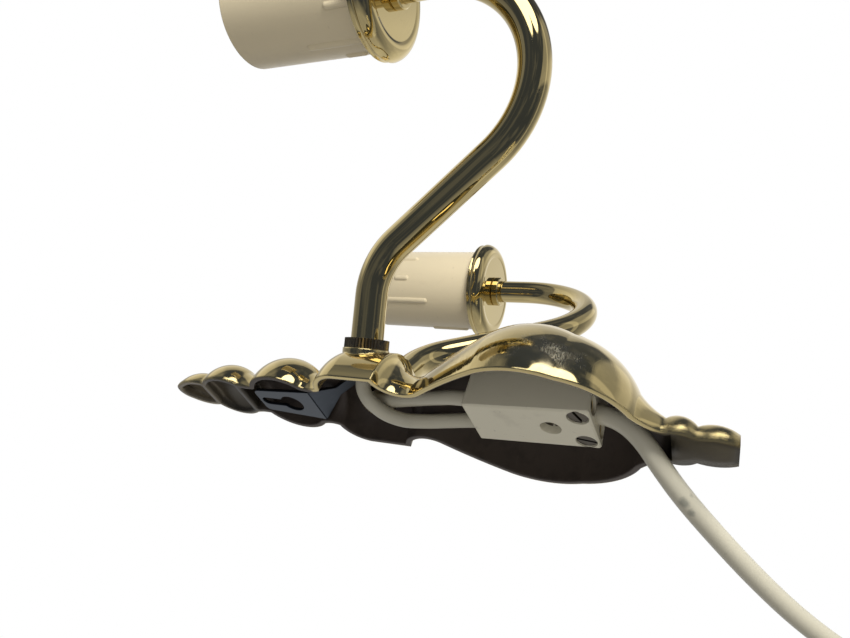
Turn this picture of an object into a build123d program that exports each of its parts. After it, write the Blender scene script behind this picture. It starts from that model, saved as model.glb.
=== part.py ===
from build123d import *
import math
import os

# A two-arm candle wall light: a half-turned brass plate that hangs on a keyhole bracket, two bent
# tube arms with drip cups, lampholders and candle sleeves, and a flex that leaves the open back.
# Millimetres. The origin is the centre of the keyhole on the wall, -Y is the room, +Z is up.

# Arms
arm_axis_drop = 24.5          # the arm axis lies this far below the keyhole's centre
splay = 32.6                  # degrees from straight out of the wall, to each side
tube_radius = 5.0
tube_wall = 1.0
arm_straight = 35.3           # from the plate's turning axis to the first bend
first_bend_radius = 22.4
first_bend_angle = 47.2
middle_straight = 37.8
second_bend_radius = 33.2
riser = 15.3                  # from the second bend up to the cup
arm_inner_end = 10.9          # where the tube stops inside the plate, from the turning axis
thread_above_cup = 9.0        # tube above the underside of the cup
lead_joint = 13.8             # where the lead of an arm meets the lead of the plate, in the tube

# Turned plate, radii and lengths of the outline from the arm axis upwards
plate_wall = 1.6
pocket_depth = 3.0            # of the dished pockets in the back of the finial
rib_half_width = 1.0          # left between the pockets
barrel_rise = 3.0
barrel_drop = 10.8
barrel_radius = 18.2
shoulder_height = 8.5
upper_neck_radius = 9.6
upper_neck_length = 5.5
large_bead_radius = 14.3
large_bead_length = 20.0
waist_radius = 7.6
waist_length = 5.5
small_bead_radius = 10.4
small_bead_length = 15.0
tip_groove_radius = 6.3
tip_radius = 6.7
tip_length = 14.0
neck_flare = 0.6              # the necks open out by this much at their ends

# The same outline from the arm axis downwards
cove_length = 12.2
cove_radius = 11.9
dome_mouth_radius = 13.8
dome_radius = 29.0
dome_length = 57.0
dome_foot_radius = 12.6
lower_neck_radius = 7.3
lower_neck_length = 6.4
lower_bead_radius = 8.1
lower_bead_length = 7.4
end_groove_radius = 6.0
end_bead_radius = 6.7
end_bead_length = 9.4
end_flat_radius = 5.0

# Arm seats in the plate
running_gap = 0.05
seat_radius = 7.1
seat_outer = 18.7             # face under the lock ring, from the turning axis
seat_inner = 14.5             # face over the bracket's wing
ring_radius = 6.8
ring_height = 3.0
inner_ring_height = 2.4
ring_teeth = 40
knurl_depth = 0.45

# Hanger bracket
sheet = 1.0
bracket_gap = 0.6             # between the saddle and the barrel
keyhole_radius = 3.9
keyhole_slot_radius = 1.9
keyhole_slot_rise = 9.5       # from the round hole up to the slot's end
tab_top = 12.4
tab_bottom = -9.2
tab_top_half_width = 5.3
tab_half_width = 7.3
leg_half_width = 1.9
leg_taper = 0.4               # share of the leg over which it narrows
wing_radius = 6.8
wing_hole_gap = 0.2
saddle_half_height = 4.0
saddle_half_width = 4.0

# Cup, collar, lampholder and candle sleeve
cup_radius = 22.2
cup_depth = 6.2
cup_sheet = 0.8
cup_floor_radius = 16.0
collar_radius = 6.7
collar_height = 3.2
collar_edge = 0.4
sleeve_radius = 18.6
sleeve_wall = 1.3
sleeve_length = 54.2
sleeve_seat = 1.8             # above the underside of the cup
drip_radius = 1.4
drip_sink = 0.6
holder_gap = 0.5
holder_wall = 2.3
holder_length = 52.5
holder_foot = 1.4
socket_radius = 13.3          # bore of the screw shell, for a 27 mm lamp cap
shell_sheet = 0.6
shell_length = 25.0
shell_ledge = 12.0            # above the holder's floor
shell_gap = 0.1
ledge_width = 1.0             # on which the screw shell stands
contact_sheet = 0.6
contact_width = 7.0
contact_rise = 8.5

# Terminal block and its fixing
block_length = 35.0
block_height = 14.0
block_inset = 1.5             # from the wall plane
block_centre_drop = 52.1      # below the arm axis
block_turn = 4.6              # degrees, as its screw has let it settle
block_edge = 0.5
pole_spacing = 11.4
pole_depth = 4.2              # from the block's outer face to a terminal's axis
barrel_outer = 2.5
barrel_bore = 1.5
terminal_screw_radius = 2.6
terminal_screw_inset = 3.4    # from the block's lower end
terminal_screw_height = 1.3
screw_well = 2.9
pole_wall = 0.3               # between a screw's well and the block's side
fixing_drop = 5.7             # the fixing screw lies this far below the block's middle
fixing_head_radius = 2.5
fixing_head_height = 1.8
fixing_head_depth = 4.0
fixing_shank_radius = 1.4
post_radius = 3.6
post_thread_depth = 7.0
fit_gap = 0.1
slot_width = 0.8
slot_depth = 0.8

# Flex, leads, coil and plug
lead_radius = 2.2
lead_socket_depth = 4.0
cord_radius = 2.7
cord_socket_depth = 5.0
cord_entry_depth = 5.5        # from the block's outer face to the flex's axis
cord_gap = 0.15
coil_outer_radius = 42.3      # of the cord's middle line
coil_pitch = 6.0
coil_turns_in = 3.5
coil_tail = 28.0
tie_width = 5.0
tie_sheet = 1.0
tie_gap = 0.3
plug_length = 44.0
plug_neck_length = 20.0
plug_width = 26.0
plug_thickness = 13.7
plug_neck_radius = 4.2
pin_radius = 2.0
pin_length = 19.0
pin_spacing = 18.6
pin_inset = 5.0

block_width = pole_spacing + 2 * (screw_well + pole_wall)
arm_z = -arm_axis_drop
sides = {"left": -1, "right": 1}
FROM_BASE = (Align.CENTER, Align.CENTER, Align.MIN)
FROM_TOP = (Align.CENTER, Align.CENTER, Align.MAX)

# Heights of the outline's turning points from the arm axis
shoulder_top = barrel_rise + shoulder_height
bead_low = shoulder_top + upper_neck_length
bead_high = bead_low + large_bead_length
waist_high = bead_high + waist_length
groove = waist_high + small_bead_length
top = groove + tip_length
cove_low = -barrel_drop - cove_length
dome_low = cove_low - dome_length
neck_low = dome_low - lower_neck_length
bead_end = neck_low - lower_bead_length
bottom = bead_end - end_bead_length

# Hand-laid routes, as points from the arm axis on the wall
lead_poles = {-1: 1, 1: 0}
lead_turns = {-1: 7.0, 1: 10.6}   # where a lead leaves the arm's axis, from the turning axis
lead_middles = {
    -1: [(-1.2, -3.2, -2.4), (4.2, -2.5, -6.0), (6.8, -2.5, -11.5), (6.9, -3.2, -19.0), (7.0, -4.6, -27.0)],
    1: [(4.8, -7.5, -1.4), (4.2, -7.2, -4.6), (3.2, -7.3, -9.5), (1.4, -7.2, -15.5), (-1.4, -6.6, -23.0),
        (-3.6, -6.0, -29.0)],
}
cord_route = [(-1.3, -5.2, -76.2), (0.4, -1.5, -81.3), (3.8, 3.5, -85.8), (9.8, 8.2, -91.4),
              (19.2, 12.7, -99.4), (28.9, 17.7, -108.7), (38.4, 22.1, -118.7), (47.0, 25.6, -130.0),
              (53.4, 28.0, -143.0), (56.4, 29.0, -156.5), (56.4, 29.0, -169.5)]
wax_drips = {
    -1: [(108, 5, 8), (68, 6, 19), (43, 9, 6), (190, 28, 20), (252, 16, 24), (318, 24, 18)],
    1: [(190, 34, 7), (155, 36, 5), (122, 26, 21), (60, 10, 16), (10, 22, 20), (290, 8, 14)],
}
terminal_slot_turns = (20, 75)
terminal_end_gap = 0.8
run_share = 0.45              # of the shorter run, taken by each arc of a flex


def put(name, shape):
    """Write one named piece."""
    export_step(shape, f"parts/{name}.step")


def below_arm(point):
    """A point given from the arm axis, in the part's frame."""
    x, y, z = point
    return (x, y, z + arm_z)


def turned(face, sweep_angle=360):
    """Turn a profile drawn as (radius, height) about the Z axis."""
    return revolve(Plane.XZ * face, axis=Axis.Z, revolution_arc=sweep_angle)


def radial(side):
    """Unit vector along an arm's base, away from the wall."""
    angle = math.radians(splay)
    return Vector(side * math.sin(angle), -math.cos(angle), 0)


def arm_plane(side):
    """Plane of one arm: x runs out along its base, y runs up."""
    out = radial(side)
    return Plane(origin=(0, 0, arm_z), x_dir=out, z_dir=out.cross(Vector(0, 0, 1)))


def across_arm(side, distance):
    """Plane square to an arm's base, at a distance from the turning axis."""
    out = radial(side)
    return Plane(origin=out * distance + Vector(0, 0, arm_z), x_dir=(0, 0, 1), z_dir=out)


def on_base(side, start, end, sketch):
    """Extrude a sketch along an arm's base, between two distances from the turning axis."""
    return extrude(across_arm(side, start) * sketch, amount=end - start)


# Turned plate


def plate_outline():
    """Half of the turned outline, as (radius, height from the arm axis)."""
    neck_end = upper_neck_radius + neck_flare
    waist_end = waist_radius + neck_flare
    crest = cove_low - dome_length / 2
    flank = 0.92 * dome_radius
    flank_high = cove_low - dome_length / 3
    flank_low = cove_low - 0.7 * dome_length
    return [
        Line((0, bottom), (end_flat_radius, bottom)),
        ThreePointArc((end_flat_radius, bottom), (end_bead_radius, bottom + 0.45 * end_bead_length),
                      (end_groove_radius, bead_end)),
        ThreePointArc((end_groove_radius, bead_end), (lower_bead_radius, bead_end + lower_bead_length / 2),
                      (lower_neck_radius, neck_low)),
        ThreePointArc((lower_neck_radius, neck_low),
                      ((lower_neck_radius + dome_foot_radius) / 2 - neck_flare, (neck_low + dome_low) / 2),
                      (dome_foot_radius, dome_low)),
        ThreePointArc((dome_foot_radius, dome_low), (0.76 * dome_radius, dome_low + 0.13 * dome_length),
                      (flank, flank_low)),
        ThreePointArc((flank, flank_low), (dome_radius, crest), (flank, flank_high)),
        ThreePointArc((flank, flank_high), ((flank + dome_mouth_radius) / 2 + neck_flare,
                                            (flank_high + cove_low) / 2), (dome_mouth_radius, cove_low)),
        ThreePointArc((dome_mouth_radius, cove_low), (cove_radius, cove_low + 0.36 * cove_length),
                      (barrel_radius, -barrel_drop)),
        Line((barrel_radius, -barrel_drop), (barrel_radius, barrel_rise)),
        ThreePointArc((barrel_radius, barrel_rise),
                      (neck_end + 0.72 * (barrel_radius - neck_end), barrel_rise + 0.62 * shoulder_height),
                      (neck_end, shoulder_top)),
        ThreePointArc((neck_end, shoulder_top), (upper_neck_radius, (shoulder_top + bead_low) / 2),
                      (neck_end, bead_low)),
        ThreePointArc((neck_end, bead_low), (large_bead_radius, bead_low + 0.44 * large_bead_length),
                      (waist_radius, bead_high)),
        ThreePointArc((waist_radius, bead_high), (waist_radius, bead_high + 0.5 * waist_length),
                      (waist_end, waist_high)),
        ThreePointArc((waist_end, waist_high), (small_bead_radius, waist_high + 0.45 * small_bead_length),
                      (tip_groove_radius, groove)),
        ThreePointArc((tip_groove_radius, groove), (tip_radius, groove + 0.3 * tip_length),
                      (0.64 * tip_radius, groove + 0.78 * tip_length)),
        ThreePointArc((0.64 * tip_radius, groove + 0.78 * tip_length),
                      (0.38 * tip_radius, groove + 0.94 * tip_length), (0, top)),
        Line((0, top), (0, bottom)),
    ]


def turned_half(face):
    """Turn a profile through the half circle in front of the wall plane."""
    return Pos(0, 0, arm_z) * Rot(0, 0, 180) * turned(face, 180)


def band(low, high, side=Align.CENTER):
    """The part of a drawing between two heights from the arm axis, whole or to the right of the axis."""
    return Pos(0, low) * Rectangle(4 * dome_radius, high - low, align=(side, Align.MIN))


def backplate():
    """Hollow behind the barrel and the dome, dished behind the finial, solid behind the end beads."""
    half = make_face(plate_outline())
    inner = offset(half + mirror(half, about=Plane.YZ), amount=-plate_wall)
    outer_solid = turned_half(half)
    hollow = inner & band(neck_low - plate_wall, waist_high - rib_half_width, Align.MIN)
    plate = outer_solid - turned_half(hollow)
    dish_radius = (small_bead_radius ** 2 + pocket_depth ** 2) / (2 * pocket_depth)
    dish = Pos(0, dish_radius - pocket_depth, arm_z) * Cylinder(dish_radius, 2 * top)
    for low, high in ((waist_high + rib_half_width, groove - rib_half_width), (groove + rib_half_width, top)):
        plate -= Pos(0, 0, arm_z) * extrude(Plane.XZ * (inner & band(low, high)), amount=pocket_depth) & dish
    for side in sides.values():
        plate += on_base(side, seat_inner, seat_outer, Circle(seat_radius))
    front = -(block_inset + block_height)
    post = block_place() * Pos(0, -block_height / 2, -fixing_drop) * Rot(90, 0, 0)
    post_cut = post * Cylinder(fixing_shank_radius + fit_gap, post_thread_depth, align=FROM_BASE)
    post_solid = post * Cylinder(post_radius, dome_radius + front, align=FROM_BASE) & outer_solid
    plate = plate + post_solid - post_cut
    for side in sides.values():
        plate -= on_base(side, 0, 2 * barrel_radius, Circle(tube_radius + running_gap))
    return plate


def hanger_bracket():
    tab = Polygon((-tab_half_width, tab_bottom), (tab_half_width, tab_bottom),
                  (tab_top_half_width, tab_top), (-tab_top_half_width, tab_top), align=None)
    tab = fillet(tab.vertices().sort_by(Axis.Y)[-2:], radius=keyhole_slot_radius)
    slot = Pos(0, keyhole_slot_rise / 2) * Rectangle(2 * keyhole_slot_radius, keyhole_slot_rise)
    slot += Pos(0, keyhole_slot_rise) * Circle(keyhole_slot_radius)
    tab -= Circle(keyhole_radius) + slot
    bracket = extrude(Plane.XZ * tab, amount=sheet)
    sine = math.sin(math.radians(splay))
    cosine = math.cos(math.radians(splay))
    saddle_front = barrel_radius - plate_wall - bracket_gap
    saddle_back = saddle_front - sheet

    def wing_start(distance, front):
        return ((distance - front * cosine) / sine, -front)

    def wing_end(distance):
        return (distance * sine + wing_radius * cosine, -distance * cosine + wing_radius * sine)

    right = [wing_start(seat_inner, saddle_front), wing_end(seat_inner), wing_end(seat_inner - sheet),
             wing_start(seat_inner - sheet, saddle_back)]
    left = [(-x, y) for x, y in reversed(right)]
    folded = Pos(0, 0, arm_z) * extrude(Polygon(*right, *left, align=None), amount=wing_radius, both=True)
    middle = Box(2 * saddle_half_width, 2 * saddle_front, 2 * saddle_half_height)
    saddle = folded & (Pos(0, 0, arm_z) * middle)
    for side in sides.values():
        saddle += folded & on_base(side, seat_inner - sheet, seat_inner, Circle(wing_radius))
    leg_start = Vector(0, -sheet / 2, tab_bottom)
    leg_end = Vector(0, -(saddle_front + saddle_back) / 2, arm_z + saddle_half_height - sheet / 2)
    run = leg_end - leg_start
    leg_plane = Plane(origin=leg_start, x_dir=(1, 0, 0), z_dir=Vector(1, 0, 0).cross(run))
    leg = Polygon((-tab_half_width, 0), (tab_half_width, 0), (leg_half_width, leg_taper * run.length),
                  (leg_half_width, run.length), (-leg_half_width, run.length),
                  (-leg_half_width, leg_taper * run.length), align=None)
    bracket += saddle + extrude(leg_plane * leg, amount=sheet / 2, both=True)
    for side in sides.values():
        bracket -= on_base(side, 0, seat_outer, Circle(tube_radius + wing_hole_gap))
    return bracket


# Arms, rings, cups and candles

def arm_route(start):
    """Middle line of an arm in its own plane, from inside the plate to the top of its thread."""
    base = Line((start, 0), (arm_straight, 0))
    first = JernArc(base @ 1, base % 1, first_bend_radius, -first_bend_angle)
    middle = Line(first @ 1, first @ 1 + (first % 1) * middle_straight)
    second = JernArc(middle @ 1, middle % 1, second_bend_radius, first_bend_angle + 90)
    end = Line(second @ 1, second @ 1 + Vector(0, riser + thread_above_cup))
    return [base, first, middle, second, end]


def along_arm(side, section, start):
    """Sweep a section along an arm, from a distance from the turning axis."""
    path = Wire([arm_plane(side) * edge for edge in arm_route(start)])
    return sweep(Plane(origin=path @ 0, z_dir=path % 0) * section, path=path)


def candle_place(side):
    """Where the underside of an arm's cup lies."""
    seat = arm_route(arm_inner_end)[-1] @ 1 - Vector(0, thread_above_cup)
    return Location(arm_plane(side).from_local_coords(seat))


def knurled_disc():
    points = []
    for step in range(2 * ring_teeth):
        radius = ring_radius - knurl_depth * (step % 2)
        angle = math.pi * step / ring_teeth
        points.append((radius * math.cos(angle), radius * math.sin(angle)))
    return Polygon(*points, align=None) - Circle(tube_radius + running_gap)


def lock_ring(side):
    start = seat_outer + running_gap
    return on_base(side, start, start + ring_height, knurled_disc())


def inner_ring(side):
    end = seat_inner - sheet - running_gap
    return on_base(side, end - inner_ring_height, end, knurled_disc())


def drip_cup():
    lip = cup_radius - cup_sheet / 2
    bulge = 0.6 * cup_depth
    edge = (cup_floor_radius + 3 * cup_radius) / 4
    bore = tube_radius + running_gap
    return turned(make_face([
        Line((bore, 0), (cup_floor_radius, 0)),
        ThreePointArc((cup_floor_radius, 0), (edge, bulge / 4), (cup_radius, bulge)),
        ThreePointArc((cup_radius, bulge), (lip - cup_sheet / 2, (bulge + cup_depth) / 2), (lip, cup_depth)),
        Line((lip, cup_depth), (lip - cup_sheet, cup_depth)),
        ThreePointArc((lip - cup_sheet, cup_depth), (lip - 1.5 * cup_sheet, (bulge + cup_depth) / 2),
                      (cup_radius - cup_sheet, bulge)),
        ThreePointArc((cup_radius - cup_sheet, bulge), (edge - cup_sheet / 2, bulge / 4 + cup_sheet),
                      (cup_floor_radius, cup_sheet)),
        Line((cup_floor_radius, cup_sheet), (bore, cup_sheet)),
        Line((bore, cup_sheet), (bore, 0)),
    ]))


def cup_collar():
    ring = Cylinder(collar_radius, collar_height, align=FROM_TOP)
    ring = chamfer(ring.edges().filter_by(GeomType.CIRCLE), length=collar_edge)
    return ring - Cylinder(tube_radius + running_gap, collar_height, align=FROM_TOP)


def holder_body():
    outer = sleeve_radius - sleeve_wall - holder_gap
    rim = cup_sheet + holder_length
    ledge = thread_above_cup + shell_ledge
    shell_outer = socket_radius + shell_sheet + shell_gap
    body = Pos(0, 0, cup_sheet) * Cylinder(cup_floor_radius - holder_gap, holder_foot, align=FROM_BASE)
    body += Pos(0, 0, cup_sheet + holder_foot) * Cylinder(outer, holder_length - holder_foot, align=FROM_BASE)
    body -= Pos(0, 0, ledge) * Cylinder(shell_outer, rim - ledge, align=FROM_BASE)
    body -= Pos(0, 0, thread_above_cup) * Cylinder(socket_radius - ledge_width, rim, align=FROM_BASE)
    return body - Cylinder(tube_radius + running_gap, rim, align=FROM_BASE)


def screw_shell():
    shell = Cylinder(socket_radius + shell_sheet, shell_length, align=FROM_BASE)
    shell -= Cylinder(socket_radius, shell_length, align=FROM_BASE)
    return Pos(0, 0, thread_above_cup + shell_ledge) * shell


def centre_contact():
    """A folded strip: a foot over the tube's end and a tongue that rises to the lamp's centre."""
    reach = socket_radius - holder_wall - contact_sheet
    heel = contact_rise / 2
    strip = Polygon((-contact_width / 2, 0), (reach, 0), (reach, heel + contact_sheet),
                    (-contact_width / 2, contact_rise), (-contact_width / 2, contact_rise - contact_sheet),
                    (reach - contact_sheet, heel), (reach - contact_sheet, contact_sheet),
                    (-contact_width / 2, contact_sheet), align=None)
    contact = extrude(Plane.XZ * strip, amount=contact_width / 2, both=True)
    return Pos(0, 0, thread_above_cup) * contact


def candle_sleeve(drips):
    sleeve = Cylinder(sleeve_radius, sleeve_length, align=FROM_BASE)
    for angle, low, length in drips:
        run = Pos(0, 0, drip_radius / 2) * Cylinder(drip_radius, length, align=FROM_BASE)
        run += Pos(0, 0, drip_radius / 2) * Sphere(drip_radius)
        run += Pos(0, 0, drip_radius / 2 + length) * Sphere(drip_radius)
        sleeve += Rot(0, 0, angle) * Pos(sleeve_radius - drip_sink, 0, low) * run
    sleeve -= Cylinder(sleeve_radius - sleeve_wall, sleeve_length, align=FROM_BASE)
    return Pos(0, 0, sleeve_seat) * sleeve


# Terminal block

def block_place():
    middle = -(block_inset + block_height / 2)
    return Location((0, middle, arm_z - block_centre_drop)) * Rot(0, block_turn, 0)


def pole_points():
    """The two terminals' axes in the block's own frame."""
    return [(side * pole_spacing / 2, block_height / 2 - pole_depth) for side in sides.values()]


def terminal_block():
    block = Box(block_width, block_height, block_length)
    block = chamfer(block.edges(), length=block_edge)
    face = block_height / 2
    for x, y in pole_points():
        block -= Pos(x, y, 0) * Cylinder(barrel_outer + fit_gap, block_length)
        lead_socket = Cylinder(lead_radius + cord_gap, lead_socket_depth, align=FROM_TOP)
        block -= Pos(x, y, block_length / 2) * lead_socket
        well = Pos(x, y, terminal_screw_inset - block_length / 2) * Rot(-90, 0, 0)
        block -= well * Cylinder(screw_well, pole_depth, align=FROM_BASE)
    block -= cord_socket() * Cylinder(cord_radius + cord_gap, cord_socket_depth, align=FROM_BASE)
    fixing = Pos(0, face, -fixing_drop) * Rot(90, 0, 0)
    block -= fixing * Cylinder(screw_well, fixing_head_depth, align=FROM_BASE)
    block -= fixing * Cylinder(fixing_shank_radius + fit_gap, block_height, align=FROM_BASE)
    return block_place() * block


def cord_socket():
    """The flex's seat in the block's lower end, in the block's own frame."""
    return Pos(0, block_height / 2 - cord_entry_depth, -block_length / 2)


def terminal_barrels():
    low = terminal_end_gap - block_length / 2
    high = block_length / 2 - lead_socket_depth
    barrel = Cylinder(barrel_outer, high - low, align=FROM_BASE)
    barrel -= Cylinder(barrel_bore, high - low, align=FROM_BASE)
    return Compound([block_place() * Pos(x, y, low) * barrel for x, y in pole_points()])


def slotted_head(radius, height):
    """A flat screw head standing on z = 0, with its slot along X."""
    head = Cylinder(radius, height, align=FROM_BASE)
    return head - Pos(0, 0, height) * Box(2 * radius, slot_width, slot_depth, align=FROM_TOP)


def terminal_screws():
    screws = []
    for (x, y), turn in zip(pole_points(), terminal_slot_turns):
        seat = Pos(x, y + barrel_outer, terminal_screw_inset - block_length / 2) * Rot(-90, 0, 0)
        screw = slotted_head(terminal_screw_radius, terminal_screw_height)
        screws.append(block_place() * seat * Rot(0, 0, turn) * screw)
    return Compound(screws)


def block_screw():
    head = Pos(0, block_height / 2 - fixing_head_depth, -fixing_drop) * Rot(-90, 0, 0)
    length = block_height - fixing_head_depth + post_thread_depth - fixing_head_height
    screw = slotted_head(fixing_head_radius, fixing_head_height)
    screw += Cylinder(fixing_shank_radius, length, align=FROM_TOP)
    return block_place() * head * screw


# Flex and leads

def tube_along(points, radius, name):
    """Sweep a round flex along runs joined by arcs as large as the runs allow."""
    points = [Vector(*point) for point in points]
    radii = []
    for before, here, after in zip(points, points[1:], points[2:]):
        into = here - before
        out = after - here
        half_turn = math.radians(into.get_angle(out)) / 2
        radii.append(run_share * min(into.length, out.length) / math.tan(half_turn))
    path = FilletPolyline(*points, radius=radii)
    flex = sweep(Plane(origin=path @ 0, z_dir=path % 0) * Circle(radius), path=path)
    expected = math.pi * radius ** 2 * path.length
    print(name, "radii", [round(r, 1) for r in radii], "length", round(path.length, 1),
          "volume ratio", round(flex.volume / expected, 5))
    return flex


def lead_points(side, middle):
    """A lead's route from the end of an arm's tube to its terminal."""
    joint = radial(side) * lead_joint + Vector(0, 0, arm_z)
    turn = radial(side) * lead_turns[side] + Vector(0, 0, arm_z)
    x, y = pole_points()[lead_poles[side]]
    place = block_place()
    mouth = (place * Pos(x, y, block_length / 2 + lead_socket_depth / 2)).position
    seat = (place * Pos(x, y, block_length / 2 - lead_socket_depth)).position
    return [joint, turn] + [below_arm(point) for point in middle] + [mouth, seat]


def cord_points():
    """The flex's route from the block to the coil."""
    place = block_place() * cord_socket()
    seat = (place * Pos(0, 0, cord_socket_depth)).position
    mouth = (place * Pos(0, 0, -cord_radius / 4)).position
    return [seat, mouth] + [below_arm(point) for point in cord_route]


def coil_centre():
    start = cord_points()[-1]
    return Vector(*start) - Vector(coil_outer_radius, 0, 2 * cord_radius)


def coil_station(turn):
    """A point of the coil after so many turns: in along one layer, out along the next."""
    from_middle = turn - coil_turns_in
    radius = coil_outer_radius - coil_pitch * (coil_turns_in - abs(from_middle))
    climb = min(max(2 * from_middle + 0.5, 0), 1)
    layer = coil_pitch * climb * climb * (3 - 2 * climb)
    angle = 2 * math.pi * turn
    return coil_centre() + Vector(radius * math.cos(angle), -layer, -radius * math.sin(angle))


def biarc(start, start_way, end, end_way):
    """Two arcs that leave one point and reach another, each along a given direction."""
    span = end - start
    ways = start_way + end_way
    spread = 2 * (1 - start_way.dot(end_way))
    along = span.dot(ways)
    reach = (math.sqrt(along ** 2 + spread * span.dot(span)) - along) / spread
    first_corner = start + start_way * reach
    second_corner = end - end_way * reach
    middle = (first_corner + second_corner) * 0.5
    way = (second_corner - first_corner).normalized()
    return [TangentArc(start, middle, tangent=start_way), TangentArc(middle, end, tangent=way)]


def coil_path():
    down = Vector(0, 0, -1)
    quarters = round(8 * coil_turns_in)
    stations = [coil_station(step / 4) for step in range(quarters + 1)]
    ways = [(coil_station(step / 4 + 0.01) - coil_station(step / 4 - 0.01)).normalized()
            for step in range(quarters + 1)]
    ways[0] = down
    ways[-1] = down
    edges = [Line(stations[0] - down * 2 * cord_radius, stations[0])]
    for step in range(quarters):
        edges += biarc(stations[step], ways[step], stations[step + 1], ways[step + 1])
    edges.append(Line(stations[-1], stations[-1] + down * coil_tail))
    return edges


def cord_coil():
    edges = coil_path()
    path = Wire(edges)
    coil = sweep(Plane(origin=path @ 0, z_dir=path % 0) * Circle(cord_radius), path=path)
    reached = 0
    samples = []
    for edge in edges:
        samples += [(reached + edge.length * step / 6, edge @ (step / 6)) for step in range(6)]
        reached += edge.length
    least = min((later - point).length for near, point in samples for far, later in samples
                if far - near > 6 * cord_radius)
    print("coil length", round(path.length, 1), "least gap", round(least - 2 * cord_radius, 2),
          "volume ratio", round(coil.volume / (math.pi * cord_radius ** 2 * path.length), 5))
    return coil


def coil_tie():
    """A flat band round all the turns at the top of the coil."""
    inner_radius = coil_outer_radius - coil_pitch * coil_turns_in
    deep = coil_outer_radius - inner_radius + 2 * (cord_radius + tie_gap)
    thick = coil_pitch + 2 * (cord_radius + tie_gap)
    middle = coil_centre() + Vector(0, -coil_pitch / 2, (coil_outer_radius + inner_radius) / 2)
    loop = RectangleRounded(thick + 2 * tie_sheet, deep + 2 * tie_sheet, cord_radius + tie_gap + tie_sheet)
    loop -= RectangleRounded(thick, deep, cord_radius + tie_gap)
    across = Plane(origin=middle, x_dir=(0, 1, 0), z_dir=(1, 0, 0))
    return extrude(across * loop, amount=tie_width / 2, both=True)


def plug_place():
    """The end of the flex, looking along it."""
    end = coil_station(2 * coil_turns_in) - Vector(0, 0, coil_tail)
    return Plane(origin=end, x_dir=(0, 1, 0), z_dir=(0, 0, -1))


def plug_body():
    place = plug_place()
    body = RectangleRounded(plug_width, plug_thickness, plug_thickness / 4)
    shoulder = place.offset(plug_neck_length)
    plug = loft([place * Circle(plug_neck_radius), shoulder * body])
    plug += extrude(shoulder * body, amount=plug_length - plug_neck_length)
    for x in (-pin_spacing / 2, pin_spacing / 2):
        hole = Pos(x, 0, plug_length) * Cylinder(pin_radius, pin_inset, align=FROM_TOP)
        plug -= Location(place) * hole
    return plug


def plug_pins():
    pin = Pos(0, 0, plug_length - pin_inset) * Cylinder(pin_radius, pin_inset + pin_length, align=FROM_BASE)
    pin = fillet(pin.edges().filter_by(GeomType.CIRCLE).sort_by(Axis.Z)[-1:], radius=pin_radius / 2)
    place = Location(plug_place())
    return Compound([place * Pos(x, 0, 0) * pin for x in (-pin_spacing / 2, pin_spacing / 2)])


def main():
    os.makedirs("parts", exist_ok=True)
    put("backplate", backplate())
    put("hanger_bracket", hanger_bracket())
    put("terminal_block", terminal_block())
    put("terminal_barrels", terminal_barrels())
    put("terminal_screws", terminal_screws())
    put("block_screw", block_screw())
    for name, side in sides.items():
        candle = candle_place(side)
        tube = Circle(tube_radius) - Circle(tube_radius - tube_wall)
        put(f"{name}_arm_tube", along_arm(side, tube, arm_inner_end))
        put(f"{name}_arm_lead", along_arm(side, Circle(lead_radius), lead_joint))
        put(f"{name}_plate_lead", tube_along(lead_points(side, lead_middles[side]), lead_radius, name))
        put(f"{name}_lock_ring", lock_ring(side))
        put(f"{name}_inner_ring", inner_ring(side))
        put(f"{name}_cup_collar", candle * cup_collar())
        put(f"{name}_drip_cup", candle * drip_cup())
        put(f"{name}_holder_body", candle * holder_body())
        put(f"{name}_screw_shell", candle * screw_shell())
        put(f"{name}_centre_contact", candle * centre_contact())
        put(f"{name}_candle_sleeve", candle * candle_sleeve(wax_drips[side]))
    put("supply_cord", tube_along(cord_points(), cord_radius, "supply cord"))
    put("cord_coil", cord_coil())
    put("coil_tie", coil_tie())
    put("plug_body", plug_body())
    put("plug_pins", plug_pins())


if __name__ == "__main__":
    main()
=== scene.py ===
"""Finishes, threaded sockets, flex and studio for the two-arm candle wall light."""
import math

import bpy
from bpy.props import FloatProperty, FloatVectorProperty, PointerProperty
from mathutils import Matrix, Vector


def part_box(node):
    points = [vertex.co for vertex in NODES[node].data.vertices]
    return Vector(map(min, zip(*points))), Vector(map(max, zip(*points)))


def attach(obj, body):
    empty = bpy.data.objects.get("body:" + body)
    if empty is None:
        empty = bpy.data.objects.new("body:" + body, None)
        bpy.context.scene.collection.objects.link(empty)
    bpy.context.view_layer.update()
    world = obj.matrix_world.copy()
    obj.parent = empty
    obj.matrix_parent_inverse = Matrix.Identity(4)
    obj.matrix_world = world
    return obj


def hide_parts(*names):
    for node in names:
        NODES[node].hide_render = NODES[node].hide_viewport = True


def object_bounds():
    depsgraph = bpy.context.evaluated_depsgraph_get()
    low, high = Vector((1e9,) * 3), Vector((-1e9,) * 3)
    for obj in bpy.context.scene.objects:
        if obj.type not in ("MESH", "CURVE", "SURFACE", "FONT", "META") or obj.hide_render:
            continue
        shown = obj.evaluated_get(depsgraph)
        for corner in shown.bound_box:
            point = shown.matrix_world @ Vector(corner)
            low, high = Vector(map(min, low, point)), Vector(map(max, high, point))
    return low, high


bl_info = {
    "name": "Candle wall light",
    "version": (1, 0, 0),
    "blender": (4, 5, 0),
    "location": "View3D > Sidebar > Wall light",
    "description": "Finishes, flex and studio for a two-arm candle wall light",
    "category": "Object",
}

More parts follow.
